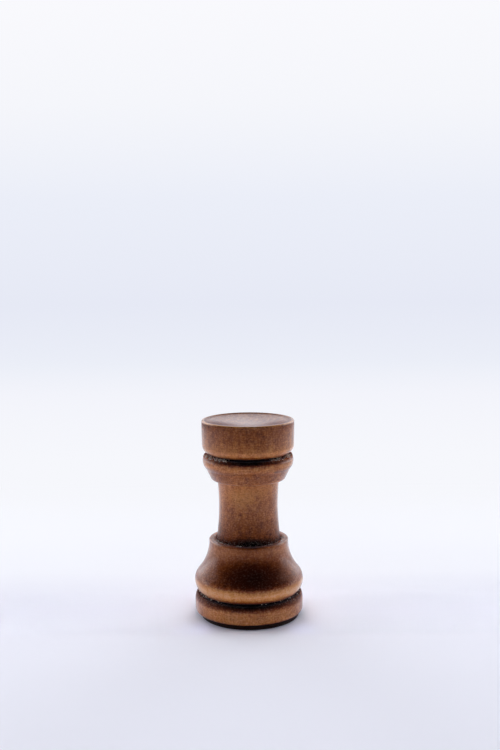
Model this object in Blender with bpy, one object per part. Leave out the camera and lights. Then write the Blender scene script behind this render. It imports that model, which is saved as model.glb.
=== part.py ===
"""Turned wooden chess rook.

A dished, flat-topped head, a beaded collar, a waisted neck, an ogee bell and a
foot are cut on one length of stained hardwood. A steel slug sits in a bore
drilled up from below, a wooden plug closes the bore, and a felt disc covers the
underside. The turning axis is +Z, and the felt stands on z = 0. Lengths are in
metres.
"""

import math
from dataclasses import dataclass

import bmesh
import bpy

MM = 0.001

# Glue line left between pieces that are fitted together
GLUE_LINE = 0.3 * MM

# Felt disc, die-cut a little smaller than the foot
FELT_THICKNESS = 0.7 * MM
FELT_MARGIN = 0.3 * MM

# Foot: a straight side under a rounded top edge
FOOT_RADIUS = 12.65 * MM
FOOT_BASE_RADIUS = 12.6 * MM
FOOT_SIDE_HEIGHT = 2.7 * MM
FOOT_TOP_ROUND = 2.85 * MM
FOOT_BASE_ROUND = 0.5 * MM

# Bell: a full bead below, drawn up in one hollow to the shoulder
BELL_RADIUS = 12.7 * MM
BELL_ROUND = 3.4 * MM
BELL_ABOVE_FOOT = 4.6 * MM
SHOULDER_RADIUS = 9.25 * MM
SHOULDER_ABOVE_BELL = 9.65 * MM
SHOULDER_ROUND = 0.3 * MM

# Neck: waisted, rising from the flat ledge that the shoulder leaves round it
NECK_BASE_RADIUS = 7.45 * MM
NECK_WAIST_RADIUS = 6.88 * MM
NECK_WAIST_HEIGHT = 7.1 * MM
NECK_TOP_RADIUS = 7.2 * MM
NECK_HEIGHT = 14.15 * MM

# Collar: a bead that runs through a slight hollow into a short cone with a rounded lower edge
COLLAR_RADIUS = 10.55 * MM
COLLAR_ROUND = 2.55 * MM
COLLAR_ABOVE_NECK = 4.45 * MM
COLLAR_BEAD_END_DEGREES = 47.0
COLLAR_HOLLOW_ROUND = 1.5 * MM
COLLAR_LIP_RADIUS = 8.75 * MM
COLLAR_LIP_ROUND = 0.6 * MM

# Head: a drum, a little wider at its rim, with a shallow dish in its top
HEAD_LOW_RADIUS = 10.7 * MM
HEAD_LOW_ROUND = 2.2 * MM
HEAD_ABOVE_COLLAR = 3.75 * MM
HEAD_TOP_RADIUS = 10.75 * MM
HEAD_SIDE_HEIGHT = 5.7 * MM
RIM_ROUND = 0.4 * MM
RIM_LAND = 0.25 * MM
DISH_DEPTH = 1.1 * MM

# Square-bottomed grooves cut where two rounded bands meet, a little below their corner
GROOVE_WIDTH = 0.5 * MM
GROOVE_DEPTH = 0.65 * MM
GROOVE_DROP = 0.35 * MM

# Weight: a bore from below, the slug at its end and the plug at its mouth
BORE_RADIUS = 6.0 * MM
BORE_DEPTH = 11.0 * MM
PLUG_LENGTH = 3.0 * MM
SLUG_CHAMFER = 0.5 * MM
PLUG_CHAMFER = 0.4 * MM

# Facets: the most an arc's chord may leave its curve, and the counts round and along
FACET_SAG = 0.02 * MM
SPIN_SEGMENTS = 60
NECK_STEPS = 8
WELD_DISTANCE = 0.001 * MM
SHARP_ANGLE_DEGREES = 35.0

# Finishes: name, linear colour, roughness, metallic
STAINED_HARDWOOD = ("stained_hardwood", (0.2, 0.088, 0.036), 0.32, 0.0)
PLAIN_DOWEL = ("plain_dowel", (0.45, 0.29, 0.15), 0.6, 0.0)
MILD_STEEL = ("mild_steel", (0.42, 0.42, 0.43), 0.4, 1.0)
DARK_FELT = ("dark_felt", (0.012, 0.01, 0.01), 0.95, 0.0)

# Heights that follow from the sizes above
UNDERSIDE = FELT_THICKNESS + GLUE_LINE
FOOT_HEIGHT = UNDERSIDE + FOOT_SIDE_HEIGHT
BELL_HEIGHT = FOOT_HEIGHT + BELL_ABOVE_FOOT
SHOULDER_HEIGHT = BELL_HEIGHT + SHOULDER_ABOVE_BELL
NECK_TOP_HEIGHT = SHOULDER_HEIGHT + NECK_HEIGHT
COLLAR_HEIGHT = NECK_TOP_HEIGHT + COLLAR_ABOVE_NECK
HEAD_LOW_HEIGHT = COLLAR_HEIGHT + HEAD_ABOVE_COLLAR
TOP_HEIGHT = HEAD_LOW_HEIGHT + HEAD_SIDE_HEIGHT


def arc(centre_radius, centre_height, radius, start, end):
    """Points of a circular stretch of outline, from one angle to another in degrees."""
    facet = math.degrees(2 * math.acos(1 - FACET_SAG / radius))
    steps = max(2, math.ceil(abs(end - start) / facet))
    angles = [math.radians(start + (end - start) * step / steps) for step in range(steps + 1)]
    return [(centre_radius + radius * math.cos(angle), centre_height + radius * math.sin(angle))
            for angle in angles]


@dataclass(frozen=True)
class Bead:
    """A rounded band: its outer radius, the height of its widest point, its section radius."""

    radius: float
    height: float
    round: float

    @property
    def core(self):
        """Radius at which the section's centre lies."""
        return self.radius - self.round

    def arc(self, start, end):
        """Points of the band's section between two angles in degrees."""
        return arc(self.core, self.height, self.round, start, end)

    def angle_at(self, height):
        """Angle on the section at which it passes a height, in degrees."""
        return math.degrees(math.asin((height - self.height) / self.round))


FOOT = Bead(FOOT_RADIUS, FOOT_HEIGHT, FOOT_TOP_ROUND)
BELL = Bead(BELL_RADIUS, BELL_HEIGHT, BELL_ROUND)
COLLAR = Bead(COLLAR_RADIUS, COLLAR_HEIGHT, COLLAR_ROUND)
HEAD = Bead(HEAD_LOW_RADIUS, HEAD_LOW_HEIGHT, HEAD_LOW_ROUND)


def crossing(upper, lower):
    """Outer point at which the sections of two neighbouring bands cross."""
    across = lower.core - upper.core
    down = lower.height - upper.height
    apart = math.hypot(across, down)
    along = (upper.round ** 2 - lower.round ** 2 + apart ** 2) / (2 * apart)
    out = math.sqrt(upper.round ** 2 - along ** 2)
    return (upper.core + (along * across - out * down) / apart,
            upper.height + (along * down + out * across) / apart)


def groove(upper, lower, upper_start, lower_end):
    """Lower part of one band, the groove under it, and the upper part of the next band."""
    corner_radius, corner_height = crossing(upper, lower)
    middle = corner_height - GROOVE_DROP
    roof = middle + GROOVE_WIDTH / 2
    floor = middle - GROOVE_WIDTH / 2
    depth_radius = corner_radius - GROOVE_DEPTH
    walls = [(depth_radius, roof), (depth_radius, floor)]
    return upper.arc(upper_start, upper.angle_at(roof)) + walls + lower.arc(lower.angle_at(floor), lower_end)


def dish():
    """Hollow in the head's top, part of a sphere, from the axis out to the rim's flat."""
    edge = HEAD_TOP_RADIUS - RIM_ROUND - RIM_LAND
    sphere = (edge ** 2 + DISH_DEPTH ** 2) / (2 * DISH_DEPTH)
    spread = math.degrees(math.asin(edge / sphere))
    points = arc(0.0, TOP_HEIGHT - DISH_DEPTH + sphere, sphere, -90, -90 + spread)
    return [(0.0, TOP_HEIGHT - DISH_DEPTH)] + points[1:]


def rim():
    """Rounded upper edge of the head."""
    return arc(HEAD_TOP_RADIUS - RIM_ROUND, TOP_HEIGHT - RIM_ROUND, RIM_ROUND, 90, 0)


def collar_cone():
    """Hollow, cone and rounded lower edge of the collar, and the bead's angle where they start.

    The cone runs from the bead's end, tangent to the lower edge. The hollow rounds the
    corner between bead and cone.
    """
    core = COLLAR_LIP_RADIUS - COLLAR_LIP_ROUND
    height = NECK_TOP_HEIGHT + COLLAR_LIP_ROUND
    bead_radius, bead_height = COLLAR.arc(0, -COLLAR_BEAD_END_DEGREES)[-1]
    reach = math.hypot(bead_radius - core, bead_height - height)
    bearing = math.atan2(bead_height - height, bead_radius - core)
    slope = math.degrees(bearing - math.acos(COLLAR_LIP_ROUND / reach))
    cone_off = COLLAR_ROUND * math.cos(math.radians(slope + COLLAR_BEAD_END_DEGREES))
    apart = COLLAR_ROUND + COLLAR_HOLLOW_ROUND
    start = slope - math.degrees(math.acos((cone_off + COLLAR_HOLLOW_ROUND) / apart))
    hollow = arc(COLLAR.core + apart * math.cos(math.radians(start)),
                 COLLAR.height + apart * math.sin(math.radians(start)),
                 COLLAR_HOLLOW_ROUND, 180 + start, 180 + slope)
    return hollow[1:] + arc(core, height, COLLAR_LIP_ROUND, slope, -90), start


def neck():
    """Waisted neck: the parabola through its top, waist and base radii."""
    knots = [(0.0, NECK_BASE_RADIUS), (NECK_WAIST_HEIGHT, NECK_WAIST_RADIUS), (NECK_HEIGHT, NECK_TOP_RADIUS)]
    points = []
    for step in range(NECK_STEPS + 1):
        rise = NECK_HEIGHT * (1 - step / NECK_STEPS)
        radius = 0.0
        for knot_rise, knot_radius in knots:
            others = [other for other, _ in knots if other != knot_rise]
            radius += knot_radius * math.prod((rise - other) / (knot_rise - other) for other in others)
        points.append((radius, SHOULDER_HEIGHT + rise))
    return points


def shoulder():
    """Small rounding on the shoulder's edge."""
    return arc(SHOULDER_RADIUS - SHOULDER_ROUND, SHOULDER_HEIGHT - SHOULDER_ROUND, SHOULDER_ROUND, 90, 0)


def flare():
    """Hollow of the bell and the angle at which it lands, tangent, on the bell's bead."""
    top = SHOULDER_HEIGHT - SHOULDER_ROUND
    inset = SHOULDER_RADIUS - BELL.core
    rise = top - BELL.height
    sweep = (BELL.round ** 2 - inset ** 2 - rise ** 2) / (2 * (inset - BELL.round))
    centre = SHOULDER_RADIUS + sweep
    landing = math.degrees(math.atan2(rise, centre - BELL.core))
    return arc(centre, top, sweep, 180, 180 + landing), landing


def foot_base():
    """Rounded lower edge of the foot."""
    return arc(FOOT_BASE_RADIUS - FOOT_BASE_ROUND, UNDERSIDE + FOOT_BASE_ROUND, FOOT_BASE_ROUND, 0, -90)


def bore():
    """Blind bore, from its mouth in the underside up to its flat end."""
    end = UNDERSIDE + BORE_DEPTH
    return [(BORE_RADIUS, UNDERSIDE), (BORE_RADIUS, end), (0.0, end)]


def body_outline():
    """Whole turning, from the dish's centre down the outer side and back up the bore."""
    cone, bead_end = collar_cone()
    hollow, landing = flare()
    head_and_collar = groove(HEAD, COLLAR, 0, bead_end)
    bell_and_foot = groove(BELL, FOOT, landing, 0)
    return (dish() + rim() + head_and_collar + cone + neck() + shoulder()
            + hollow[1:-1] + bell_and_foot + foot_base() + bore())


def disc_outline(radius, bottom, top, top_chamfer=0.0, bottom_chamfer=0.0):
    """Solid disc about the axis, with an optional chamfer on either edge."""
    outline = [(0.0, top), (radius - top_chamfer, top)]
    if top_chamfer:
        outline.append((radius, top - top_chamfer))
    if bottom_chamfer:
        outline.append((radius, bottom + bottom_chamfer))
    return outline + [(radius - bottom_chamfer, bottom), (0.0, bottom)]


def slug_outline():
    """Steel slug, chamfered, filling the bore between its end and the plug."""
    top = UNDERSIDE + BORE_DEPTH - GLUE_LINE
    bottom = UNDERSIDE + PLUG_LENGTH + GLUE_LINE
    return disc_outline(BORE_RADIUS - GLUE_LINE, bottom, top, SLUG_CHAMFER, SLUG_CHAMFER)


def plug_outline():
    """Wooden plug, chamfered at its leading edge and flush with the underside."""
    return disc_outline(BORE_RADIUS - GLUE_LINE, UNDERSIDE, UNDERSIDE + PLUG_LENGTH, PLUG_CHAMFER)


def felt_outline():
    """Felt disc under the foot."""
    return disc_outline(FOOT_BASE_RADIUS - FELT_MARGIN, 0.0, FELT_THICKNESS)


def new_material(name, colour, roughness, metallic):
    """Principled material with one colour."""
    material = bpy.data.materials.new(name)
    material.use_nodes = True
    shader = material.node_tree.nodes["Principled BSDF"]
    shader.inputs["Base Color"].default_value = (*colour, 1.0)
    shader.inputs["Roughness"].default_value = roughness
    shader.inputs["Metallic"].default_value = metallic
    return material


def turn(name, outline, material):
    """Spin an outline about +Z into a closed solid of its own."""
    shape = bmesh.new()
    points = [shape.verts.new((radius, 0.0, height)) for radius, height in outline]
    edges = [shape.edges.new(pair) for pair in zip(points, points[1:])]
    bmesh.ops.spin(shape, geom=points + edges, cent=(0, 0, 0), axis=(0, 0, 1),
                   angle=math.tau, steps=SPIN_SEGMENTS, use_merge=True)
    bmesh.ops.remove_doubles(shape, verts=shape.verts, dist=WELD_DISTANCE)
    bmesh.ops.recalc_face_normals(shape, faces=shape.faces)
    mesh = bpy.data.meshes.new(name)
    shape.to_mesh(mesh)
    shape.free()
    mesh.materials.append(material)
    mesh.shade_smooth()
    mesh.set_sharp_from_angle(angle=math.radians(SHARP_ANGLE_DEGREES))
    piece = bpy.data.objects.new(name, mesh)
    bpy.context.scene.collection.objects.link(piece)
    return piece


def main():
    """Clear the scene and turn each piece."""
    for old in list(bpy.data.objects):
        bpy.data.objects.remove(old, do_unlink=True)
    turn("turned_body", body_outline(), new_material(*STAINED_HARDWOOD))
    turn("base_weight", slug_outline(), new_material(*MILD_STEEL))
    turn("bore_plug", plug_outline(), new_material(*PLAIN_DOWEL))
    turn("felt_pad", felt_outline(), new_material(*DARK_FELT))


main()
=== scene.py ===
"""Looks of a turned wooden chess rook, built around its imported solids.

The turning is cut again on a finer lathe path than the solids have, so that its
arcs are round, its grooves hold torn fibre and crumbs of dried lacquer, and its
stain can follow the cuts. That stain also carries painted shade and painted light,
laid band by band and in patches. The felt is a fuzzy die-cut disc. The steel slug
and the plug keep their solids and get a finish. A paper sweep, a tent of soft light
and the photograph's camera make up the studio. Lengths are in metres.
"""

from __future__ import annotations

import logging
import math
import random
from collections.abc import Callable
from dataclasses import dataclass
from enum import Enum
from functools import partial
from typing import Any

import bmesh
import bpy
from bmesh.types import BMesh, BMLayerItem, BMVert
from bpy.types import Material, Node, NodeSocket, NodeTree, Object
from mathutils import Euler, Matrix, Vector, noise

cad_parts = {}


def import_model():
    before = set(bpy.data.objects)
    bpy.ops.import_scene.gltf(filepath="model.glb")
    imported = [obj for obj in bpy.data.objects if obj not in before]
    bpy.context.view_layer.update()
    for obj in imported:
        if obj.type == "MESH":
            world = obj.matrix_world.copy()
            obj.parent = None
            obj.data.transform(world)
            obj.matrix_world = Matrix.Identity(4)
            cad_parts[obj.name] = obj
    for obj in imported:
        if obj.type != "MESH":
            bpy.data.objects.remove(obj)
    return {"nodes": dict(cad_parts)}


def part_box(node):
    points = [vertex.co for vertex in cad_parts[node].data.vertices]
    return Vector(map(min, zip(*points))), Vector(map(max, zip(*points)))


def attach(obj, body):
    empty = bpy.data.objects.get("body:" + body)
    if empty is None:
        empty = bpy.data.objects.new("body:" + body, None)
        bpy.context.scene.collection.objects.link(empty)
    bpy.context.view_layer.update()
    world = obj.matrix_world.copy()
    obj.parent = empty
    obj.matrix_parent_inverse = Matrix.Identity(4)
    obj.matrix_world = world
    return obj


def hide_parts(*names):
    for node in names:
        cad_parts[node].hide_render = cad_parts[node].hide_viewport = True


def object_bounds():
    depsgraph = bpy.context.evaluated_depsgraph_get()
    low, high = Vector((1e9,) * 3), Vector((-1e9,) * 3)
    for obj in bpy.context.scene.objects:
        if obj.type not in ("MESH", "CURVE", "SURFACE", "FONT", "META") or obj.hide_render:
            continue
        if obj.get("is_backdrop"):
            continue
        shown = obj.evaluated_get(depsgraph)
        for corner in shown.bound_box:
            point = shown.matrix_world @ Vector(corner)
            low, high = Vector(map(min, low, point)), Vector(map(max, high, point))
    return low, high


MM = 0.001
IMAGE_HEIGHT_PX = 750
SENSOR_MM = 36.0
SHARP_DEGREES = 40.0
# A wave texture of scale 1 has one ring in every tau / 20 units.
WAVE = math.tau / 20

Pair = tuple[float, float]
Triple = tuple[float, float, float]
Stops = tuple[Triple, ...]
Rows = tuple[tuple[float, ...], ...]
Shades = tuple[tuple[float, str], ...]
Inputs = dict[str, Any] | tuple[Any, ...]
NodeAdder = Callable[..., NodeSocket]

# Settings of the two commonest Math nodes.
TIMES = {"operation": "MULTIPLY"}
TIMES_PLUS = {"operation": "MULTIPLY_ADD"}

log = logging.getLogger("rook")


class Layer(Enum):
    """Values that a turned mesh carries at each of its points."""

    # The stain layer holds the wood's stain and also painted shade and light: deeper where shade falls on the
    # turning, lighter where light falls on it.
    STAIN = "stain"
    TORN = "torn"
    RINGED = "ringed"
    CALM = "calm"


class Side(Enum):
    """The two side walls of the light tent, by the sign of their X."""

    LEFT = -1.0
    RIGHT = 1.0


class Row(Enum):
    """The front and the back of the light tent, by the sign of their Y."""

    FRONT = -1.0
    BACK = 1.0


class Cut(Enum):
    """The three deep cuts of the turning, where crumbs gather."""

    COLLAR = "under the head"
    LEDGE = "at the foot of the neck"
    FOOT = "under the bell"


def linear(code: str) -> tuple[float, float, float, float]:
    """Turn an sRGB hex colour into Blender's linear colour.

    Args:
        code: colour such as "#8b5531".

    Returns:
        Linear red, green, blue and an alpha of 1.
    """
    parts = [int(code[place:place + 2], 16) / 255 for place in (1, 3, 5)]
    red, green, blue = (p / 12.92 if p <= 0.04045 else ((p + 0.055) / 1.055) ** 2.4 for p in parts)
    return red, green, blue, 1.0


def plug(node: Node, inputs: Inputs) -> None:
    """Link other nodes' outputs to a node, and set constants on its own sockets.

    Args:
        node: node that is fed.
        inputs: outputs and constants, by socket name or in the sockets' order.
    """
    for name, value in inputs.items() if isinstance(inputs, dict) else enumerate(inputs):
        if isinstance(value, NodeSocket):
            node.id_data.links.new(value, node.inputs[name])
        else:
            node.inputs[name].default_value = value


def add_node(tree: NodeTree, kind: str, inputs: Inputs = (), out: int | str = 0, stops: Shades = (),
             **settings: Any) -> NodeSocket:
    """Add one shader node with its settings, constants and links.

    Args:
        tree: node tree that gets the node.
        kind: type of node, without Blender's prefix.
        inputs: outputs and constants, by socket name or in the sockets' order.
        out: the output that is wanted.
        stops: places and hex colours of a colour ramp.
        **settings: properties of the node itself.

    Returns:
        The wanted output.
    """
    node = tree.nodes.new(f"ShaderNode{kind}")
    for name, value in settings.items():
        setattr(node, name, value)
    for place, (position, code) in enumerate(stops):
        elements = node.color_ramp.elements
        stop = elements[place] if place < len(elements) else elements.new(position)
        stop.position = position
        stop.color = linear(code)
    plug(node, inputs)
    return node.outputs[out]


def new_material(name: str) -> tuple[Material, NodeAdder, Node]:
    """Start a node material.

    Args:
        name: the real material and how its surface was made.

    Returns:
        The material, the adder of its nodes and its Principled shader.
    """
    material = bpy.data.materials.new(name)
    material.use_nodes = True
    tree = material.node_tree
    return material, partial(add_node, tree), tree.nodes["Principled BSDF"]


@dataclass(frozen=True)
class GrainMark:
    """One kind of mark in the wood: its real size, its finer detail and its share in the stain."""

    across: float
    along: float
    detail: float
    share: float

    @property
    def scale(self) -> Triple:
        """Scale of a pattern whose marks have these sizes."""
        return 1 / self.across, 1 / self.across, 1 / self.along


@dataclass(frozen=True)
class StainedHardwood:
    """Fine-grained hardwood, turned, sanded, stained brown and lacquered semi-gloss.

    The eye sees a warm mottled brown: short vertical fibres, flecks of ray and pore,
    cloudy patches where the stain took unevenly, and near-black stain in the cuts. The
    stain it reads from the turning also holds painted shade and painted light, and its
    pale ray flecks are partly a painted sheen.
    """

    name: str = "stained_beech_lacquered"
    fibre: GrainMark = GrainMark(0.16 * MM, 2.4 * MM, 3.0, 0.20)
    fleck: GrainMark = GrainMark(0.40 * MM, 0.36 * MM, 2.0, 0.52)
    cloud: GrainMark = GrainMark(1.0 * MM, 1.1 * MM, 1.0, 0.22)
    ripple: GrainMark = GrainMark(1.4 * MM, 0.3 * MM, 1.0, 0.24)
    blotch: GrainMark = GrainMark(5.0 * MM, 5.0 * MM, 1.0, 0.18)
    pore: GrainMark = GrainMark(0.09 * MM, 0.7 * MM, 1.0, 0.10)
    mark_roughness: float = 0.6
    fleck_range: Pair = (0.3, 0.7)
    pore_range: Pair = (0.6, 0.75)
    ring_spacing: float = 1.5 * MM
    ring_share: float = 0.04
    pith_offset: Triple = (17.0 * MM, -9.0 * MM, 0.0)
    deep_stain: Pair = (0.5, 0.85)
    deep_figure: float = 0.35
    # Pale ray flecks, painted partly as sheen: the lightest flecks are mixed toward a pale grey that stands
    # in for glints on the lacquer.
    sheen_fleck_range: Pair = (0.5, 0.3)
    sheen_fleck_share: float = 0.05
    sheen_fleck_colour: str = "#d8c8c4"
    fray: float = 0.26 * MM
    fray_range: Pair = (0.57, 0.66)
    fray_colour: str = "#9a8c84"
    roughness: Pair = (0.32, 0.44)
    torn_roughness: float = 0.5
    specular: float = 0.1
    fibre_glint: str = "#ffc4ae"
    ior: float = 1.42
    coat: Pair = (1.0, 0.12)
    sunk_stain: Pair = (0.50, 0.66)
    film_change: float = 0.4
    film_torn_away: float = 0.5
    end_coat: float = 0.15
    coat_roughness: float = 0.12
    haze: float = 0.25
    haze_roughness: float = 0.36
    haze_colour: str = "#e6eaff"
    relief: float = 0.03 * MM
    relief_strength: Pair = (0.35, 0.08)
    fibre_height: float = 0.6
    lathe_ring: float = 0.5 * MM
    lathe_relief: float = 0.005 * MM
    shades: Shades = (
        (0.00, "#f6b67a"), (0.22, "#e6984c"), (0.42, "#c4722f"),
        (0.60, "#914812"), (0.78, "#4c1a02"), (1.00, "#070100"),
    )

    def build(self) -> Material:
        """Make the material.

        Returns:
            A material that reads the layers of a turned mesh.
        """
        material, node, shader = new_material(self.name)
        place = node("TexCoord", out="Object")
        # The stain attribute holds the stain together with the painted shade and light laid on the turning.
        stain, torn, ringed, calm = (
            node("Attribute", out="Fac", attribute_name=layer.value) for layer in Layer)
        lively = node("Math", (1.0, calm), operation="SUBTRACT")
        figure: Any = 0.0
        fields = []
        for mark in (self.fibre, self.fleck, self.cloud, self.ripple, self.blotch):
            spot = node("Mapping", {"Vector": place, "Scale": mark.scale})
            fields.append(node("TexNoise", {
                "Vector": spot, "Scale": 1.0, "Detail": mark.detail, "Roughness": self.mark_roughness}))
            lift = node("Math", (fields[-1], 0.5), operation="SUBTRACT")
            figure = node("Math", (lift, mark.share, figure), **TIMES_PLUS)
        fibre, fleck = fields[:2]
        pith = node("Mapping", {"Vector": place, "Location": self.pith_offset})
        rings = node("TexWave", {
            "Vector": pith, "Scale": WAVE / self.ring_spacing, "Distortion": 1.6, "Detail": 2.0,
            "Detail Scale": 0.8}, out="Fac", wave_type="RINGS", rings_direction="Z")
        figure = node("Math", (rings, self.ring_share, figure), **TIMES_PLUS)
        spot = node("Mapping", {"Vector": place, "Scale": self.pore.scale})
        pores = node("TexNoise", {"Vector": spot, "Scale": 1.0, "Detail": self.pore.detail})
        pores = node("MapRange", (pores, *self.pore_range))
        figure = node("Math", (pores, self.pore.share, figure), **TIMES_PLUS)
        # Deep stain hides part of the figure.
        clear = node("MapRange", (stain, *self.deep_stain, 1.0, self.deep_figure))
        clear = node("Math", (clear, lively), **TIMES)
        depth = node("Math", (figure, clear, stain), **TIMES_PLUS)
        colour = node("ValToRGB", (depth,), stops=self.shades)
        # Painted sheen: the lightest flecks go pale grey, standing in for glints of the lacquer over the ray
        # flecks.
        sheen_fleck = node("MapRange", (fleck, *self.sheen_fleck_range, 0.0, self.sheen_fleck_share))
        colour = node("MixRGB", (sheen_fleck, colour, linear(self.sheen_fleck_colour)))
        fray = node("TexNoise", {"Vector": place, "Scale": 1 / self.fray, "Detail": 1.0})
        fray = node("MapRange", (fray, *self.fray_range))
        fray = node("Math", (fray, torn), **TIMES)
        colour = node("MixRGB", (fray, colour, linear(self.fray_colour)))
        gloss = node("MapRange", (fleck, *self.fleck_range, *self.roughness))
        gloss = node("Math", (torn, self.torn_roughness, gloss), **TIMES_PLUS)
        # The lacquer sinks in where the stain went deep, and lies unevenly over the flecks.
        film = node("MapRange", (stain, *self.sunk_stain, *self.coat))
        film = node("Math", (ringed, self.end_coat, film), **TIMES_PLUS)
        uneven = node("MapRange", (fleck, *self.fleck_range, self.film_change, -self.film_change))
        uneven = node("Math", (uneven, lively), **TIMES)
        film = node("Math", (film, uneven, film), **TIMES_PLUS)
        whole = node("MapRange", (torn, 0.0, self.film_torn_away, 1.0, 0.0))
        film = node("Math", (film, whole), **TIMES)
        height = node("Math", (fibre, self.fibre_height, fleck), **TIMES_PLUS)
        faced = node("MapRange", (ringed, 0.0, 1.0, *self.relief_strength))
        faced = node("Math", (faced, lively), **TIMES)
        relief = node("Bump", {"Height": height, "Strength": faced, "Distance": self.relief})
        groove = node("TexWave", {
            "Vector": place, "Scale": WAVE / self.lathe_ring, "Distortion": 0.4, "Detail": 1.0},
            out="Fac", wave_type="RINGS", rings_direction="Z")
        groove = node("Math", (groove, ringed), **TIMES)
        relief = node("Bump", {
            "Height": groove, "Strength": 1.0, "Distance": self.lathe_relief, "Normal": relief})
        plug(shader, {
            "Base Color": colour, "Roughness": gloss, "Normal": relief, "IOR": self.ior,
            "Specular IOR Level": self.specular, "Specular Tint": linear(self.fibre_glint),
            "Coat Weight": film, "Coat Normal": relief, "Coat Roughness": self.coat_roughness,
            "Coat IOR": self.ior})
        # Handling leaves a thin haze on the lacquer, which pales it where it turns away.
        plug(shader, {
            "Sheen Weight": self.haze, "Sheen Roughness": self.haze_roughness,
            "Sheen Tint": linear(self.haze_colour)})
        return material


@dataclass(frozen=True)
class GrainFinish:
    """A finish whose shade, and where given its gloss and nap, follow one grain.

    The grain is the real size of its marks along X, Y and Z.
    """

    name: str
    shades: Shades
    grain: Triple
    pattern: dict[str, float]
    constants: dict[str, float]
    gloss: Pair | None = None
    nap: float = 0.0
    nap_strength: float = 0.8

    def build(self) -> Material:
        """Make the material.

        Returns:
            The material.
        """
        material, node, shader = new_material(self.name)
        place = node("TexCoord", out="Object")
        spot = node("Mapping", {"Vector": place, "Scale": [1 / size for size in self.grain]})
        grain = node("TexNoise", {"Vector": spot, "Scale": 1.0, **self.pattern})
        plug(shader, {"Base Color": node("ValToRGB", (grain,), stops=self.shades), **self.constants})
        if self.gloss:
            plug(shader, {"Roughness": node("MapRange", (grain, 0.0, 1.0, *self.gloss))})
        if self.nap:
            relief = node("Bump", {"Height": grain, "Strength": self.nap_strength, "Distance": self.nap})
            plug(shader, {"Normal": relief})
        return material


# Wool felt, pressed and dyed: a matt, near-black brown nap of crossed fibres.
PRESSED_FELT = GrainFinish(
    "pressed_wool_felt", ((0.3, "#170a08"), (0.75, "#3a2019")), (0.12 * MM, 0.12 * MM, 0.12 * MM),
    {"Detail": 4.0, "Roughness": 0.7, "Distortion": 1.2},
    {"Roughness": 0.95, "Specular IOR Level": 0.2, "Sheen Weight": 0.05, "Sheen Roughness": 0.6},
    nap=0.06 * MM)
# Beech dowel, sawn and sanded but not stained: pale, straight-grained and matt.
PLAIN_DOWEL = GrainFinish(
    "plain_beech_sanded", ((0.3, "#a97f52"), (0.7, "#d2ab7c")), (0.2 * MM, 0.2 * MM, 3.0 * MM),
    {"Detail": 3.0}, {"Roughness": 0.65})
# Mild steel bar, sawn to length and deburred: grey, with fine saw lines.
SAWN_STEEL = GrainFinish(
    "mild_steel_sawn", ((0.3, "#84868a"), (0.7, "#b4b6b9")), (0.15 * MM, 3.0 * MM, 0.15 * MM),
    {"Detail": 2.0}, {"Metallic": 1.0}, gloss=(0.3, 0.5))
# Crumbs of lacquer and sanding dust caught in the cuts: pale, shiny and uneven.
DRIED_LACQUER = GrainFinish(
    "dried_lacquer_crumbs", ((0.35, "#cbbfb4"), (0.65, "#fbf6ee")), (0.9 * MM, 0.9 * MM, 0.9 * MM),
    {"Detail": 2.0}, {"Roughness": 0.25, "Coat Weight": 0.5})


def seen_rays(node: NodeAdder) -> NodeSocket:
    """Tell rays that see a background, straight or mirrored, from rays that light the rook.

    Args:
        node: adder of nodes to the background's tree.

    Returns:
        Socket that is 1 for rays that see.
    """
    seen: Any = 0.0
    for ray in ("Camera", "Glossy", "Transmission"):
        seen = node("Math", (node("LightPath", out=f"Is {ray} Ray"), seen), operation="MAXIMUM")
    return seen


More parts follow.
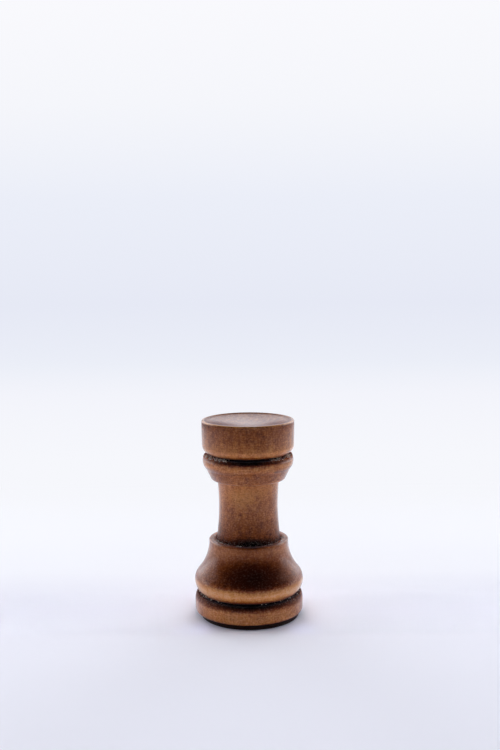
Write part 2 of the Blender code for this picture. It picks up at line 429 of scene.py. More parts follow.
@dataclass(frozen=True)
class SeamlessPaper:
    """Studio paper, rolled out as floor and backdrop: matt white with a cool cast.

    The floor takes its light and its shadow from the lamps. In front of the rook the
    paper is painted dark grey, as painted shade for the unlit room on the camera's side
    that the lacquer mirrors. For rays that see it, the paper glows towards the backdrop
    in plain shades along its run (distance back plus height), a painted gradient of light
    with a painted cool tint in the shade next to the rook, and far off on the other sides
    in one pale shade.
    """

    name: str = "seamless_paper_matt"
    colour: str = "#eeeff7"
    tooth: float = 0.5 * MM
    tooth_relief: float = 0.02 * MM
    tooth_strength: float = 0.05
    roughness: float = 0.9
    specular: float = 0.2
    lift: float = 0.08
    glow: Pair = (-0.03, 0.13)
    # Painted shade: the paper in front of the rook is darkened to this grey, for the unlit room on the
    # camera's side.
    painted_shade_colour: str = "#55575f"
    painted_shade_reach: Pair = (-0.24, -0.10)
    run: float = 1.25
    surround_colour: str = "#e6e8f4"
    surround: Pair = (0.17, 0.42)
    # The first stop is a painted cool tint for the shade on the floor next to the rook; the rest is a painted
    # gradient of light over the backdrop.
    shades: Shades = (
        (0.00, "#d9d7f2"), (0.03, "#f6f7fc"), (0.18, "#f6f7fc"),
        (0.37, "#f3f4fb"), (0.54, "#eceff8"), (0.74, "#e6e9f5"),
        (0.95, "#ebeef8"), (1.09, "#f5f6fb"), (1.20, "#f9f9fd"),
    )

    def build(self) -> Material:
        """Make the material.

        Returns:
            The material.
        """
        material, node, shader = new_material(self.name)
        place = node("TexCoord", out="Object")
        tooth = node("TexNoise", {"Vector": place, "Scale": 1 / self.tooth, "Detail": 2.0})
        relief = node("Bump", {
            "Height": tooth, "Strength": self.tooth_strength, "Distance": self.tooth_relief})
        back, up = (node("SeparateXYZ", (place,), out=axis) for axis in "YZ")
        # Painted shade: darker paper towards the camera's side.
        near = node("MapRange", (back, *self.painted_shade_reach))
        tone = node("ValToRGB", (near,), stops=((0.0, self.painted_shade_colour), (1.0, self.colour)))
        plug(shader, {"Base Color": tone, "Normal": relief, "Roughness": self.roughness,
                      "Specular IOR Level": self.specular})
        run = node("Math", (back, up), operation="ADD")
        share = node("MapRange", (run, 0.0, self.run))
        stops = tuple((reach / self.run, code) for reach, code in self.shades)
        shade = node("ValToRGB", (share,), stops=stops)
        seen = seen_rays(node)
        # Painted light: for rays that see the paper it glows, a little even in the rook's shadow close by,
        # and wholly towards the backdrop.
        far = node("MapRange", (run, *self.glow, self.lift), interpolation_type="SMOOTHSTEP")
        part = node("Math", (seen, far), **TIMES)
        mix = node("MixShader", (part, shader.outputs["BSDF"], node("Emission", (shade,))))
        away = node("VectorMath", (place,), out="Value", operation="LENGTH")
        away = node("MapRange", (away, *self.surround), interpolation_type="SMOOTHSTEP")
        near = node("MapRange", (far, 1.0, self.lift))
        part = node("Math", (away, near), **TIMES)
        part = node("Math", (part, seen), **TIMES)
        mix = node("MixShader", (part, mix, node("Emission", (linear(self.surround_colour),))))
        plug(material.node_tree.nodes["Material Output"], {"Surface": mix})
        return material


@dataclass(frozen=True)
class Bead:
    """A rounded band on the turning: its outer radius, its height there and its section's radius."""

    radius: float
    height: float
    round: float

    @property
    def core(self) -> float:
        """Radius at which the section's centre lies."""
        return self.radius - self.round

    def above(self, height: float) -> Bead:
        """The band with its height counted from another one."""
        return Bead(self.radius, height + self.height, self.round)

    def point(self, angle: float) -> Pair:
        """Radius and height of the section's surface at an angle in degrees."""
        turn = math.radians(angle)
        return self.core + self.round * math.cos(turn), self.height + self.round * math.sin(turn)

    def angle_at(self, height: float) -> float:
        """Angle on the section at which it passes a height, in degrees."""
        return math.degrees(math.asin((height - self.height) / self.round))


class LathePath:
    """The tool's path down a turned outline, cut as edges in the plane of X and Z."""

    SECTORS = 24
    MERGE = 0.0005 * MM

    def __init__(self, radius: float, height: float, stain: float = 0.0) -> None:
        """Touch the tool to the work.

        Args:
            radius: radius of the first point.
            height: height of the first point.
            stain: depth of stain there, from 0 to 1.
        """
        self.shape = bmesh.new()
        self.layers = {layer: self.shape.verts.layers.float.new(layer.value) for layer in Layer}
        self.tip = self.shape.verts.new((radius, 0.0, height))
        self.ringed = 0.0
        self.calm = 0.0
        self.now = dict.fromkeys(Layer, 0.0)
        self._mark([self.tip], stain, 0.0)

    def _mark(self, made: list[BMVert], stain: float | None, torn: float) -> None:
        """Run the layers' values evenly over the newest points.

        Args:
            made: points of the cut, in order.
            stain: depth of stain at the last one; none given keeps what it was.
            torn: how torn the fibre is at the last one, from 0 to 1.
        """
        goal = {Layer.STAIN: self.now[Layer.STAIN] if stain is None else stain, Layer.TORN: torn,
                Layer.RINGED: self.ringed, Layer.CALM: self.calm}
        for step, vert in enumerate(made, start=1):
            for layer, value in goal.items():
                vert[self.layers[layer]] = self.now[layer] + (value - self.now[layer]) * step / len(made)
        self.now = goal
        self.tip = made[-1]

    def cut_to(self, radius: float, height: float, steps: int = 1, stain: float | None = None,
               torn: float = 0.0) -> None:
        """Cut straight to a point.

        Args:
            radius: radius of the end point.
            height: height of the end point.
            steps: how many edges the cut has.
            stain: depth of stain at the end.
            torn: how torn the fibre is at the end.
        """
        start, end = self.tip.co.copy(), Vector((radius, 0.0, height))
        made, last = [], self.tip
        for step in range(1, steps + 1):
            last = bmesh.ops.extrude_vert_indiv(self.shape, verts=[last])["verts"][0]
            last.co = start.lerp(end, step / steps)
            made.append(last)
        self._mark(made, stain, torn)

    def sweep(self, radius: float, height: float, degrees: float, steps: int, stain: float | None = None,
              torn: float = 0.0) -> None:
        """Cut an arc about a centre: positive degrees go over a nose, negative into a hollow.

        Args:
            radius: radius of the arc's centre.
            height: height of the arc's centre.
            degrees: how far the arc turns.
            steps: how many edges the arc has.
            stain: depth of stain at the end.
            torn: how torn the fibre is at the end.
        """
        before = len(self.shape.verts)
        bmesh.ops.spin(self.shape, geom=[self.tip], cent=(radius, 0.0, height), axis=(0.0, 1.0, 0.0),
                       angle=math.radians(degrees), steps=steps)
        self._mark(list(self.shape.verts)[before:], stain, torn)

    def spin(self, segments: int) -> BMesh:
        """Spin the path about the turning axis into a closed skin.

        Args:
            segments: facets round the axis.

        Returns:
            The closed shape, with its faces pointing out.
        """
        shape = self.shape
        axis = {"cent": (0.0, 0.0, 0.0), "axis": (0.0, 0.0, 1.0)}
        sector = math.tau / self.SECTORS
        bmesh.ops.spin(shape, geom=list(shape.verts) + list(shape.edges), angle=sector,
                       steps=segments // self.SECTORS, **axis)
        # Copies of one sector close the round, because one spin of hundreds of steps is slow.
        bmesh.ops.spin(shape, geom=list(shape.verts) + list(shape.edges) + list(shape.faces),
                       angle=math.tau - sector, steps=self.SECTORS - 1, use_duplicate=True, **axis)
        bmesh.ops.remove_doubles(shape, verts=shape.verts, dist=self.MERGE)
        bmesh.ops.recalc_face_normals(shape, faces=shape.faces)
        return shape


def new_piece(name: str, shape: BMesh, material: Material,
              smooth: bool = True) -> Object:
    """Turn a finished bmesh into an object at the origin.

    Args:
        name: piece name.
        shape: finished shape, which is freed.
        material: its finish.
        smooth: whether faces are shaded smooth.

    Returns:
        The new object.
    """
    mesh = bpy.data.meshes.new(name)
    shape.to_mesh(mesh)
    shape.free()
    mesh.materials.append(material)
    if smooth:
        mesh.shade_smooth()
        mesh.set_sharp_from_angle(angle=math.radians(SHARP_DEGREES))
    piece = bpy.data.objects.new(name, mesh)
    bpy.context.scene.collection.objects.link(piece)
    log.info("%s: %d faces", name, len(mesh.polygons))
    return piece


@dataclass(frozen=True)
class PaintedShadePatch:
    """A patch of painted shade or light, in millimetres, and how much deeper the stain layer is made in its
    middle.
    """

    x: float
    y: float
    z: float
    across: float
    up: float
    change: float

    def at(self, spot: Vector) -> float:
        """Change of stain at a point in metres."""
        x, y, z = spot / MM - Vector((self.x, self.y, self.z))
        return self.change * math.exp(-(x * x + y * y) / self.across ** 2 - (z / self.up) ** 2)


@dataclass
class TurnedBody:
    """Head, collar, neck, bell and foot, cut on one length of hardwood.

    A bead's height is its rise above the one below. Stains and torn fibre run from 0 to 1.
    The stains set along the outline are the wood's stain and also painted shade and light:
    darker on faces that turn up and in the cuts and corners, lighter on faces that turn
    down and on the rim's land, which carries a painted highlight. A band's stops give an
    angle on its section, the stain and the torn fibre there, the ledge's a share of its
    width in place of the angle, and the flare's a share of its arc, the steps and the
    stain. Patches and torn shade patches list the values of a PaintedShadePatch: they
    paint shade or light onto parts of the front and sides.
    """

    underside: float
    finish: StainedHardwood = StainedHardwood()
    segments: int = 384
    foot: Bead = Bead(12.65 * MM, 2.7 * MM, 2.85 * MM)
    bell: Bead = Bead(12.7 * MM, 4.6 * MM, 3.4 * MM)
    lip: Bead = Bead(8.75 * MM, 0.6 * MM, 0.6 * MM)
    collar: Bead = Bead(10.55 * MM, 4.45 * MM, 2.55 * MM)
    head: Bead = Bead(10.7 * MM, 3.75 * MM, 2.2 * MM)
    foot_base_radius: float = 12.6 * MM
    foot_base_round: float = 0.5 * MM
    shoulder_radius: float = 9.25 * MM
    shoulder_above_bell: float = 9.65 * MM
    shoulder_round: float = 0.3 * MM
    neck_base_radius: float = 7.45 * MM
    neck_waist_radius: float = 6.88 * MM
    neck_waist_height: float = 7.1 * MM
    neck_top_radius: float = 7.2 * MM
    neck_height: float = 14.15 * MM
    neck_steps: int = 32
    collar_bead_end: float = 47.0
    collar_hollow_round: float = 1.5 * MM
    head_top_radius: float = 10.75 * MM
    head_side_height: float = 5.7 * MM
    rim_round: float = 0.4 * MM
    rim_land: float = 0.25 * MM
    rim_step: float = 0.2 * MM
    rim_step_run: float = 0.3 * MM
    dish_depth: float = 1.1 * MM
    groove_width: float = 0.28 * MM
    groove_depth: float = 0.65 * MM
    groove_drop: float = 0.46 * MM
    bore_radius: float = 6.0 * MM
    bore_depth: float = 11.0 * MM
    torn_relief: float = 0.10 * MM
    torn_size: float = 0.45 * MM
    finer_tear: Pair = (2.7, 0.6)
    facet_degrees: float = 4.5
    dish_stain: float = 0.53
    # Painted highlight: the rim's land and the top of its round are made light, for the glint of light along
    # the rim's edge.
    rim_stain_and_highlight: tuple[float, ...] = (0.50, 0.10, 0.20, 0.54)
    # Painted light: the drum grows lighter towards its foot and the head's lower round lighter still, as lit
    # from below.
    drum_stain_and_light: Pair = (0.52, 0.40)
    drum_bend: float = 0.4
    head_stops: Stops = ((-14.0, 0.32, 0.0), (-30.0, 0.34, 0.0), (-44.0, 0.42, 0.0))
    # The grooves are stained deeper, which is partly stain held in the cuts and partly painted shade.
    groove_stain_and_shade: Triple = (0.58, 0.82, 0.68)
    groove_torn: Triple = (0.3, 0.8, 1.0)
    # Painted shade and light: the collar is dark on its top by the groove and lighter below, its lip is made
    # light and the corner under the lip dark.
    collar_stops: Stops = ((18.0, 0.70, 0.2), (10.0, 0.52, 0.0), (1.0, 0.40, 0.0), (-9.0, 0.35, 0.0),
                           (-20.0, 0.40, 0.0), (-32.0, 0.52, 0.0))
    collar_stain_and_shading: tuple[float, ...] = (0.56, 0.55, 0.50, 0.26, 0.75)
    # Painted shade: the neck's stain deepens downwards, most in its lowest part by the ledge, where its fibre
    # is also torn.
    neck_stain_and_shade: Triple = (0.35, 0.31, 0.12)
    neck_torn_from: float = 0.90
    # Painted shade, with torn fibre: the ledge is darker in the corner by the neck and lighter out towards
    # the shoulder.
    ledge_stops: Stops = ((0.2, 0.64, 0.5), (0.5, 0.57, 0.0), (1.0, 0.54, 0.0))
    dish_rings: float = 1.0
    step_rings: float = 0.5
    ledge_rings: float = 0.3
    shoulder_stain: float = 0.52
    # Painted shade and light: the flare darkens towards the bell's belly, the bell's under band is made
    # light, and the foot is dark on its top by the groove and lighter on its face.
    flare_stops: tuple[tuple[float, int, float], ...] = ((0.15, 4, 0.46), (0.35, 7, 0.55), (0.5, 10, 0.59))
    bell_calm: float = 0.4
    foot_calm: float = 0.1
    bell_stops: Stops = ((28.0, 0.60, 0.0), (17.0, 0.53, 0.0), (3.0, 0.15, 0.0), (-12.0, 0.0, 0.0),
                         (-34.0, 0.34, 0.0))
    foot_stops: Stops = ((24.0, 0.68, 0.2), (10.0, 0.56, 0.0), (0.0, 0.36, 0.0))
    base_stains: Triple = (0.33, 0.7, 0.1)
    # Patches of painted shade and light: darker on the fronts of the grooves, the neck's foot and the bell,
    # on the foot's sides and the dish's sides; lighter on the neck's front and the upper groove's sides.
    patches: Rows = (
        (-2.0, -6.8, 28.8, 2.8, 2.4, -0.17),
        (0.5, -7.5, 18.6, 3.6, 0.9, 0.30),
        (1.0, -11.0, 11.7, 7.0, 4.2, 0.34),
        (0.0, -10.0, 37.7, 5.5, 0.8, 0.32),
        (0.0, -12.0, 5.4, 8.0, 0.8, 0.36),
        (-9.5, -4.0, 37.9, 5.0, 0.8, -0.16), (9.5, -4.0, 37.9, 5.0, 0.8, -0.16),
        (-11.5, -4.0, 2.4, 4.5, 2.5, 0.07), (11.5, -4.0, 2.4, 4.5, 2.5, 0.12),
        (-7.0, -3.0, 45.3, 4.5, 0.9, 0.16), (7.0, -3.0, 45.3, 4.5, 0.9, 0.14),
    )
    # Torn fibre is taken off the grooves' fronts, so that they stay smooth and black there as painted shade,
    # and laid on the dish's sides, which dulls their lacquer there as painted shade.
    torn_shade_patches: Rows = (
        (0.0, -10.0, 37.9, 6.0, 1.2, -0.9), (0.0, -12.0, 5.4, 9.0, 1.2, -0.8),
        (-7.0, -3.0, 45.3, 4.5, 0.9, 0.3), (7.0, -3.0, 45.3, 4.5, 0.9, 0.25),
    )

    def __post_init__(self) -> None:
        """Work out the heights of the bands from the stack of sizes."""
        self.foot = self.foot.above(self.underside)
        self.bell = self.bell.above(self.foot.height)
        self.shoulder_height = self.bell.height + self.shoulder_above_bell
        self.ledge = self.shoulder_radius - self.shoulder_round - self.neck_base_radius
        self.neck_top_height = self.shoulder_height + self.neck_height
        self.lip = self.lip.above(self.neck_top_height)
        self.collar = self.collar.above(self.neck_top_height)
        self.head = self.head.above(self.collar.height)
        self.top = self.head.height + self.head_side_height
        self.path = LathePath(0.0, self.top - self.dish_depth, self.dish_stain)

    def build(self) -> Object:
        """Cut the turning, roughen its grooves and dress it.

        Returns:
            The piece, which stands for the solid of the turning.
        """
        self._cut_head()
        self._cut_groove(self.head, self.collar, 0.0, self.head_stops)
        self._cut_collar()
        self._cut_neck()
        self.path.calm = self.bell_calm
        landing = self._cut_flare()
        self.path.calm = self.foot_calm
        self._cut_groove(self.bell, self.foot, landing, self.bell_stops)
        self._cut_band(self.foot, self._groove(self.bell, self.foot)[2], self.foot_stops)
        self._cut_base()
        shape, layers = self.path.spin(self.segments), self.path.layers
        # Patches of painted shade and light on the stain, and on the torn fibre.
        self._paint_light_and_shade(shape, layers[Layer.STAIN], self.patches)
        self._paint_light_and_shade(shape, layers[Layer.TORN], self.torn_shade_patches)
        self._tear(shape, layers[Layer.TORN])
        piece = new_piece("turned_wood", shape, self.finish.build())
        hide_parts("turned_body")
        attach(piece, "root")
        return piece

    def crumb_spot(self, cut: Cut, out: float, up: float) -> Pair:
        """Find where a crumb lies in one of the deep cuts.

        Args:
            cut: which cut.
            out: 0 at the back of the cut, 1 at its mouth.
            up: 0 on the floor of a groove, 1 on its upper lip.

        Returns:
            Radius and height of the crumb's middle.
        """
        if cut is Cut.LEDGE:
            return self.neck_base_radius + out * self.ledge, self.shoulder_height
        upper, lower = (self.head, self.collar) if cut is Cut.COLLAR else (self.bell, self.foot)
        depth, roof_angle, floor_angle = self._groove(upper, lower)
        mouth, height = Vector(lower.point(floor_angle)).lerp(Vector(upper.point(roof_angle)), up)
        return depth + out * (mouth - depth), height

    def _cut_head(self) -> None:
        """Cut the dish, the step up to the rim, the rim and the drum's side."""
        # The land and the top of the round are made light: a painted highlight along the rim.
        step, land, upper_round, lower_round = self.rim_stain_and_highlight
        edge = self.head_top_radius - self.rim_round - self.rim_land
        hollow, depth = edge - self.rim_step_run, self.dish_depth - self.rim_step
        sphere = (hollow ** 2 + depth ** 2) / (2 * depth)
        spread = math.degrees(math.asin(hollow / sphere))
        self.path.ringed = self.dish_rings
        self.path.sweep(0.0, self.top - self.dish_depth + sphere, -spread, 14, self.dish_stain)
        self.path.ringed = self.step_rings
        self.path.cut_to(edge, self.top, 3, step)
        self.path.cut_to(edge + self.rim_land, self.top, 1, land)
        self.path.ringed = 0.0
        for stain in (upper_round, lower_round):
            self.path.sweep(edge + self.rim_land, self.top - self.rim_round, 45.0, 3, stain)
        # Painted light: the drum grows lighter towards its foot.
        bend = self.head.height + self.drum_bend * self.head_side_height
        self.path.cut_to(self.head_top_radius, bend, 7, self.drum_stain_and_light[0])
        self.path.cut_to(self.head.radius, self.head.height, 5, self.drum_stain_and_light[1])

    def _groove(self, upper: Bead, lower: Bead) -> Triple:
        """Find the groove between two bands, from the outer point at which their sections cross.

        Args:
            upper: band above the groove.
            lower: band below the groove.

        Returns:
            Radius of the groove's back, and the angles on the upper and lower band where it starts.
        """
        across, down = lower.core - upper.core, lower.height - upper.height
        apart = math.hypot(across, down)
        along = (upper.round ** 2 - lower.round ** 2 + apart ** 2) / (2 * apart)
        out = math.sqrt(upper.round ** 2 - along ** 2)
        back = upper.core + (along * across - out * down) / apart - self.groove_depth
        middle = upper.height + (along * down + out * across) / apart - self.groove_drop
        half = self.groove_width / 2
        return back, upper.angle_at(middle + half), lower.angle_at(middle - half)

    def _cut_band(self, band: Bead, start: float, stops: Stops) -> None:
        """Cut down over a rounded band.

        Args:
            band: the band's section.
            start: angle on the section at which the tool stands.
            stops: angle, stain and torn fibre at the end of each stretch.
        """
        for angle, stain, torn in stops:
            steps = max(2, round(abs(start - angle) / self.facet_degrees))
            self.path.sweep(band.core, band.height, start - angle, steps, stain, torn)
            start = angle

    def _cut_groove(self, upper: Bead, lower: Bead, start: float, stops: Stops) -> None:
        """Cut the lower half of a band and the groove under it.

        Args:
            upper: band above the groove.
            lower: band below the groove.
            start: angle on the upper band at which the tool stands.
            stops: angle, stain and torn fibre on the way to the groove.
        """
        # The groove's deeper stain is partly painted shade.
        lip, back, floor = zip(self.groove_stain_and_shade, self.groove_torn)
        depth, roof_angle, floor_angle = self._groove(upper, lower)
        self._cut_band(upper, start, (*stops, (roof_angle, *lip)))
        self.path.cut_to(depth, self.path.tip.co.z, 3, *back)
        edge_radius, edge_height = lower.point(floor_angle)
        self.path.cut_to(depth, edge_height, 2, *back)
        self.path.cut_to(edge_radius, edge_height, 6, *floor)

    def _cut_collar(self) -> None:
        """Cut the collar's bead, the hollow and the cone under it, and its lip, in to the neck."""
        # Painted light on the lip, and painted shade on the bead's top and in the corner under the lip.
        bead, hollow, cone, lip, inner = self.collar_stain_and_shading
        end_radius, end_height = self.collar.point(-self.collar_bead_end)
        across, up = end_radius - self.lip.core, end_height - self.lip.height
        slope = math.degrees(math.atan2(up, across) - math.acos(self.lip.round / math.hypot(across, up)))
        cone_off = self.collar.round * math.cos(math.radians(slope + self.collar_bead_end))
        apart = self.collar.round + self.collar_hollow_round
        start = slope - math.degrees(math.acos((cone_off + self.collar_hollow_round) / apart))
        self._cut_band(self.collar, self._groove(self.head, self.collar)[2],
                       (*self.collar_stops, (start, bead, 0.0)))
        turn = math.radians(start)
        self.path.sweep(self.collar.core + apart * math.cos(turn),
                        self.collar.height + apart * math.sin(turn), start - slope, 5, hollow)
        self.path.cut_to(*self.lip.point(slope), 5, cone)
        self.path.sweep(self.lip.core, self.lip.height, slope + 90.0, 6, lip)
        self.path.cut_to(self.neck_top_radius, self.neck_top_height, 2, inner)

    def _neck_radius(self, rise: float) -> float:
        """Radius of the neck at a rise above its base, on the parabola through its three radii."""
        knots = [(0.0, self.neck_base_radius), (self.neck_waist_height, self.neck_waist_radius),
                 (self.neck_height, self.neck_top_radius)]
        return sum(radius * math.prod((rise - other) / (knot - other) for other, _ in knots if other != knot)
                   for knot, radius in knots)

    def _cut_neck(self) -> None:
        """Cut the neck down to the ledge, and the ledge out to the shoulder."""
        # Painted shade: the stain deepens down the neck and most at its foot.
        top, deeper, deepest = self.neck_stain_and_shade
        for step in range(1, self.neck_steps + 1):
            share = step / self.neck_steps
            rise = self.neck_height * (1 - share)
            low = max(0.0, (share - self.neck_torn_from) / (1 - self.neck_torn_from))
            stain = top + deeper * share + deepest * low
            self.path.cut_to(self._neck_radius(rise), self.shoulder_height + rise, 1, stain, low)
        # Painted shade in the ledge's corner by the neck.
        for share, stain, torn in self.ledge_stops:
            self.path.cut_to(self.neck_base_radius + share * self.ledge, self.shoulder_height, 3, stain, torn)
            self.path.ringed = self.ledge_rings
        self.path.ringed = 0.0

    def _cut_flare(self) -> float:
        """Cut the shoulder's edge and the bell's hollow.

        Returns:
            Angle on the bell's bead at which the hollow lands on it.
        """
        top = self.shoulder_height - self.shoulder_round
        self.path.sweep(self.shoulder_radius - self.shoulder_round, top, 90.0, 5, self.shoulder_stain)
        inset, rise = self.shoulder_radius - self.bell.core, top - self.bell.height
        sweep = (self.bell.round ** 2 - inset ** 2 - rise ** 2) / (2 * (inset - self.bell.round))
        centre = self.shoulder_radius + sweep
        landing = math.degrees(math.atan2(rise, centre - self.bell.core))
        # Painted shade: the flare darkens towards the belly.
        for share, steps, stain in self.flare_stops:
            self.path.sweep(centre, top, -landing * share, steps, stain)
        return landing

    def _cut_base(self) -> None:
        """Cut the foot's side, its lower edge, the underside and the bore."""
        side, edge, under = self.base_stains
        low = self.underside + self.foot_base_round
        self.path.cut_to(self.foot_base_radius, low, 6, side)
        self.path.sweep(self.foot_base_radius - self.foot_base_round, low, 90.0, 5, edge)
        self.path.cut_to(self.bore_radius, self.underside, 2, under)
        for radius in (self.bore_radius, 0.0):
            self.path.cut_to(radius, self.underside + self.bore_depth, 1, 0.0)

    def _paint_light_and_shade(self, shape: BMesh, layer: BMLayerItem, rows: Rows) -> None:
        """Lay patches of painted shade or light, as less or more on one of the layers.

        Args:
            shape: spun shape.
            layer: value at each point.
            rows: values of the patches.
        """
        patches = [PaintedShadePatch(*row) for row in rows]
        for vert in shape.verts:
            vert[layer] = max(0.0, vert[layer] + sum(patch.at(vert.co) for patch in patches))

    def _tear(self, shape: BMesh, layer: BMLayerItem) -> None:
        """Roughen the torn fibre in the cuts.

        Args:
            shape: spun shape.
            layer: how torn each point is.
        """
        times, share = self.finer_tear
        shape.normal_update()
        for vert in shape.verts:
            torn = vert[layer]
            if torn > 0.0:
                rough = noise.noise(vert.co / self.torn_size)
                rough += share * noise.noise(vert.co * times / self.torn_size)
                vert.co += vert.normal * rough * torn * self.torn_relief


@dataclass
class GrooveCrumbs:
    """Crumbs of dried lacquer and dust that lie in the deep cuts of a turning.

    Bearings are degrees from the front. Loose crumbs have a count between two bearings,
    marked ones a bearing and a size in millimetres. A cut's lie is how far out and up its
    crumbs are: under the bell they cling to the groove's upper lip.
    """

    body: TurnedBody
    finish: GrainFinish = DRIED_LACQUER
    seed: int = 7
    sizes: Pair = (0.07 * MM, 0.20 * MM)
    stray_out: float = 0.2
    stray_up: float = 0.5
    flat: Pair = (0.6, 1.5)
    thick: Pair = (0.5, 1.0)
    lie: tuple[tuple[Cut, Pair], ...] = (
        (Cut.COLLAR, (1.2, 0.5)), (Cut.LEDGE, (0.3, 0.0)), (Cut.FOOT, (1.3, 1.0)))
    loose: tuple[tuple[Cut, float, float, int], ...] = (
        (Cut.COLLAR, -84.0, -28.0, 120), (Cut.COLLAR, 32.0, 82.0, 110),
        (Cut.COLLAR, 85.0, 275.0, 24), (Cut.LEDGE, -78.0, -12.0, 44),
        (Cut.LEDGE, 18.0, 62.0, 12), (Cut.LEDGE, 62.0, 282.0, 44),
        (Cut.FOOT, -75.0, 75.0, 30), (Cut.FOOT, 75.0, 285.0, 40),
    )
    marked: tuple[tuple[Cut, tuple[Pair, ...]], ...] = (
        (Cut.LEDGE, ((-72.0, 0.26), (-64.0, 0.20), (-50.0, 0.16), (36.0, 0.15))),
        (Cut.FOOT, ((-56.0, 0.22), (-38.0, 0.20), (14.5, 0.20), (39.0, 0.17), (54.0, 0.19))),
        (Cut.COLLAR, ((-62.0, 0.17), (-48.0, 0.15), (-37.0, 0.17), (43.0, 0.15), (52.0, 0.17), (66.0, 0.20))),
    )

    def __post_init__(self) -> None:
        """Start an empty shape and the source of random forms."""
        self.shape = bmesh.new()
        self.draw = random.Random(self.seed)

    def build(self) -> Object:
        """Scatter the crumbs.

        Returns:
            One piece with all the crumbs.
        """
        draw, lie = self.draw, dict(self.lie)
        for cut, crumbs in self.marked:
            for bearing, size in crumbs:
                self._drop(self.body.crumb_spot(cut, *lie[cut]), bearing, size * MM)
        for cut, first, last, count in self.loose:
            out, up = lie[cut]
            for _ in range(count):
                size = self.sizes[0] + (self.sizes[1] - self.sizes[0]) * draw.random() ** 2
                rise = up + draw.uniform(-self.stray_up, self.stray_up)
                spot = self.body.crumb_spot(cut, out + draw.uniform(-self.stray_out, self.stray_out), rise)
                self._drop(spot, draw.uniform(first, last), size)
        piece = new_piece("groove_crumbs", self.shape, self.finish.build(), smooth=False)
        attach(piece, "root")
        return piece

    def _drop(self, spot: Pair, bearing: float, size: float) -> None:
        """Lay one crumb.

        Args:
            spot: radius and height of its middle.
            bearing: angle round the axis from the front, in degrees.
            size: its mean radius.
        """
        turn = math.radians(bearing)
        stretch = [self.draw.uniform(*span) for span in (self.flat, self.flat, self.thick)]
        tilt = Euler([self.draw.uniform(0.0, math.tau) for _ in range(3)]).to_matrix().to_4x4()
        place = Matrix.Translation((spot[0] * math.sin(turn), -spot[0] * math.cos(turn), spot[1]))
        form = place @ tilt @ Matrix.Diagonal((*stretch, 1.0))
        bmesh.ops.create_icosphere(self.shape, subdivisions=1, radius=size, matrix=form)


@dataclass
class FeltPad:
    """Die-cut felt disc, glued under the foot a little off its middle.

    Its dark band in the photograph is thickest at the front and runs out at the sides.
    """

    top: float
    glue_line: float
    finish: GrainFinish = PRESSED_FELT
    radius: float = 11.45 * MM
    middle: Pair = (0.2 * MM, -0.83 * MM)
    segments: int = 240
    edge_round: float = 0.12 * MM
    glue_filled: float = 0.8
    fuzz: float = 0.05 * MM
    fuzz_size: float = 0.3 * MM

    def build(self) -> Object:
        """Cut the disc, roughen its edge and dress it.

        Returns:
            The piece, which stands for the felt's solid.
        """
        top = self.top + self.glue_line * self.glue_filled
        core = self.radius - self.edge_round
        path = LathePath(0.0, top)
        path.cut_to(core, top, 10)
        path.sweep(core, top - self.edge_round, 90.0, 3)
        path.cut_to(self.radius, self.edge_round, 4)
        path.sweep(core, self.edge_round, 90.0, 3)
        path.cut_to(0.0, 0.0, 10)
        shape = path.spin(self.segments)
        shape.normal_update()
        for vert in shape.verts:
            if math.hypot(vert.co.x, vert.co.y) > core and vert.co.z > self.edge_round:
                vert.co += vert.normal * noise.noise(vert.co / self.fuzz_size) * self.fuzz
        bmesh.ops.translate(shape, verts=shape.verts, vec=(*self.middle, 0.0))
        piece = new_piece("felt_disc", shape, self.finish.build())
        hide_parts("felt_pad")
        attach(piece, "root")
        return piece


@dataclass
class InnerWeight:
    """Steel slug and wooden plug inside the base, which keep their solids."""

    nodes: dict[str, Object]

    def dress(self) -> None:
        """Give the slug and the plug their finishes."""
        for name, finish in (("base_weight", SAWN_STEEL), ("bore_plug", PLAIN_DOWEL)):
            slots = self.nodes[name].data.materials
            slots.clear()
            slots.append(finish.build())
            log.info("%s: dressed as %s", name, finish.name)


@dataclass(frozen=True)
class SoftPanel:
    """One of the tent's lamps.

    Its brightness is how bright it looks, where 1 is paper white. A grid narrows its
    spread, in degrees. One that isn't mirrored has a polarising sheet in front of it.
    """

    name: str
    place: Triple
    aim: Triple
    size: Pair
    brightness: float
    spread: float = 180.0
    colour: str = "#fafbff"
    mirrored: bool = True

    def hang(self) -> None:
        """Hang the lamp, out of the camera's sight."""
        lamp = bpy.data.lights.new(self.name, "AREA")
        lamp.shape = "RECTANGLE"
        lamp.size, lamp.size_y = self.size
        lamp.energy = self.brightness * math.pi * math.prod(self.size)
        lamp.spread = math.radians(self.spread)
        lamp.color = linear(self.colour)[:3]
        panel = bpy.data.objects.new(self.name, lamp)
        panel.location = self.place
        panel.rotation_euler = (Vector(self.aim) - Vector(self.place)).to_track_quat("-Z", "Y").to_euler()
        panel.visible_camera = False
        panel.visible_glossy = self.mirrored
        bpy.context.scene.collection.objects.link(panel)
        log.info("%s: %.2f W", self.name, lamp.energy)


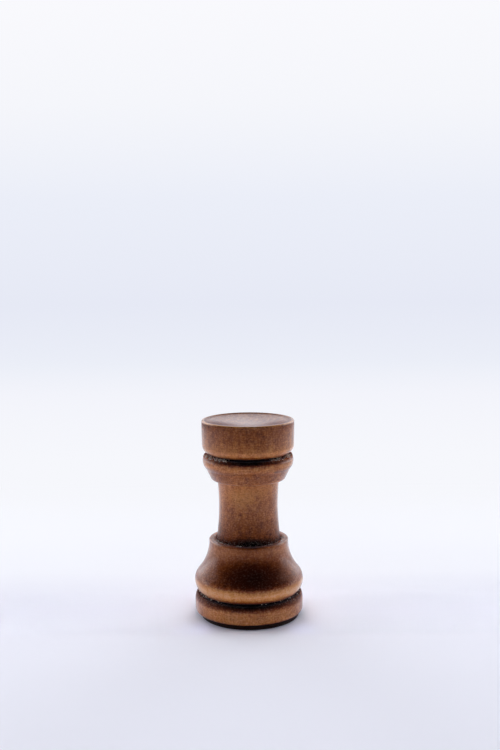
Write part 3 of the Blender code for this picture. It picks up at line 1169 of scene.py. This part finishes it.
@dataclass
class Studio:
    """Paper sweep, the light tent's soft panels and the room beyond them."""

    width: float = 3.0
    front: float = -1.2
    back: float = 0.55
    sweep_radius: float = 0.30
    wall_height: float = 1.4
    paper: SeamlessPaper = SeamlessPaper()
    fill: str = "#dfe4f2"
    fill_level: float = 0.02
    horizon: Pair = (0.30, 0.20)
    panels: tuple[SoftPanel, ...] = (
        SoftPanel("panel_back", (0.0, 0.40, 0.37), (0.0, 0.02, 0.0), (0.60, 0.30), 2.6, mirrored=False),
        SoftPanel("panel_left", (-0.27, 0.18, 0.15), (0.0, 0.0, 0.02), (0.42, 0.28), 2.1),
        SoftPanel("panel_right", (0.27, 0.18, 0.15), (0.0, 0.0, 0.02), (0.42, 0.28), 1.95),
        # A faint strip far behind the rook is there for its mirror image in the dished head.
        SoftPanel("strip_back", (0.002, 0.50, 0.19), (0.002, 0.0, 0.19), (0.010, 0.17), 0.75),
    )
    beam_gap: float = 0.0135
    beam_corner: float = 0.0096
    beam_reach: float = 0.42
    beam_height: float = 0.16
    beam_spread: float = 3.2
    row_levels: Pair = (0.44, 0.33)
    side_levels: tuple[tuple[Row, Pair], ...] = ((Row.BACK, (0.33, 0.34)), (Row.FRONT, (0.41, 0.42)))
    corner_level: float = 0.8
    corner_light: str = "#d6dbff"

    def build(self) -> None:
        """Roll out the paper, hang the lamps and fill the room."""
        self._roll_paper()
        for panel in self.panels:
            panel.hang()
        self._hang_beams()
        self._fill_room()

    def _hang_beams(self) -> None:
        """Light the floor all round the rook with gridded lamps that leave the rook itself out."""
        gap, reach = self.beam_gap, self.beam_reach
        middle, length = (gap + reach) / 2, reach - gap
        # Where the square gap between the beams leaves the round foot, the shade is filled with cool light.
        inner, span = (gap + self.beam_corner) / 2, gap - self.beam_corner
        beams = [(row.name, 0.0, row.value * middle, (2 * reach, length), level, SoftPanel.colour)
                 for row, level in zip(Row, self.row_levels)]
        beams += [(f"{row.name}_{side.name}", side.value * middle, row.value * gap / 2, (length, gap), level,
                   SoftPanel.colour) for row, levels in self.side_levels for side, level in zip(Side, levels)]
        beams += [(f"fill_{row.name}_{side.name}", side.value * inner, row.value * inner, (span, span),
                   self.corner_level, self.corner_light) for row in Row for side in Side]
        for name, x, y, size, level, colour in beams:
            SoftPanel(f"beam_{name.lower()}", (x, y, self.beam_height), (x, y, 0.0), size, level,
                      self.beam_spread, colour).hang()

    def _fill_room(self) -> None:
        """Make the room beyond the paper: almost dark overhead, pale along the horizon."""
        world = bpy.data.worlds.new("room")
        world.use_nodes = True
        node = partial(add_node, world.node_tree)
        dark = node("Background", (linear(self.fill), self.fill_level))
        pale = node("Background", (linear(self.paper.surround_colour),))
        rise = node("SeparateXYZ", (node("TexCoord", out="Generated"),), out="Z")
        low = node("MapRange", (rise, *self.horizon))
        part = node("Math", (low, seen_rays(node)), **TIMES)
        plug(world.node_tree.nodes["World Output"], {"Surface": node("MixShader", (part, dark, pale))})
        bpy.context.scene.world = world

    def _roll_paper(self) -> None:
        """Make floor and backdrop as one curved sheet."""
        shape = bmesh.new()
        tip = shape.verts.new((-self.width / 2, self.front, 0.0))
        tip = bmesh.ops.extrude_vert_indiv(shape, verts=[tip])["verts"][0]
        tip.co = (-self.width / 2, self.back, 0.0)
        bent = bmesh.ops.spin(shape, geom=[tip], cent=(-self.width / 2, self.back, self.sweep_radius),
                              axis=(1.0, 0.0, 0.0), angle=math.radians(90.0), steps=24)
        tip = next(item for item in bent["geom_last"] if isinstance(item, BMVert))
        last = bmesh.ops.extrude_vert_indiv(shape, verts=[tip])["verts"][0]
        last.co = tip.co + Vector((0.0, 0.0, self.wall_height))
        made = bmesh.ops.extrude_edge_only(shape, edges=list(shape.edges))["geom"]
        edge = [item for item in made if isinstance(item, BMVert)]
        bmesh.ops.translate(shape, verts=edge, vec=(self.width, 0.0, 0.0))
        bmesh.ops.recalc_face_normals(shape, faces=shape.faces)
        new_piece("paper_sweep", shape, self.paper.build())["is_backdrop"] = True


@dataclass(frozen=True)
class PhotoCamera:
    """Camera at the photograph's place, found from the rook's outline in it."""

    focal_px: float = 998.0
    pitch_degrees: float = 6.754
    roll_degrees: float = -0.43
    place: Triple = (0.6 * MM, -228.1 * MM, 83.3 * MM)
    nearest: float = 0.01

    def build(self) -> None:
        """Make the camera and look through it."""
        data = bpy.data.cameras.new("photo_camera")
        data.sensor_width = SENSOR_MM
        data.lens = self.focal_px * SENSOR_MM / IMAGE_HEIGHT_PX
        data.clip_start = self.nearest
        camera = bpy.data.objects.new("photo_camera", data)
        camera.location = self.place
        look = Euler((math.radians(90.0 - self.pitch_degrees), 0.0, 0.0)).to_matrix()
        camera.rotation_euler = (look @ Matrix.Rotation(math.radians(self.roll_degrees), 3, "Z")).to_euler()
        bpy.context.scene.collection.objects.link(camera)
        bpy.context.scene.camera = camera


def main() -> None:
    """Load the frame, build and dress each piece, and set up the studio."""
    logging.basicConfig(level=logging.INFO, format="%(name)s %(message)s")
    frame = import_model()
    cad_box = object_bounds()
    cad_box = (cad_box[0].copy(), cad_box[1].copy())
    bpy.context.scene.view_settings.view_transform = "Standard"
    _, felt_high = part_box("felt_pad")
    wood_low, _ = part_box("turned_body")
    PhotoCamera().build()
    body = TurnedBody(underside=wood_low.z)
    body.build()
    GrooveCrumbs(body).build()
    FeltPad(top=felt_high.z, glue_line=wood_low.z - felt_high.z).build()
    InnerWeight(frame["nodes"]).dress()
    Studio().build()


if __name__ == "__main__":
    main()
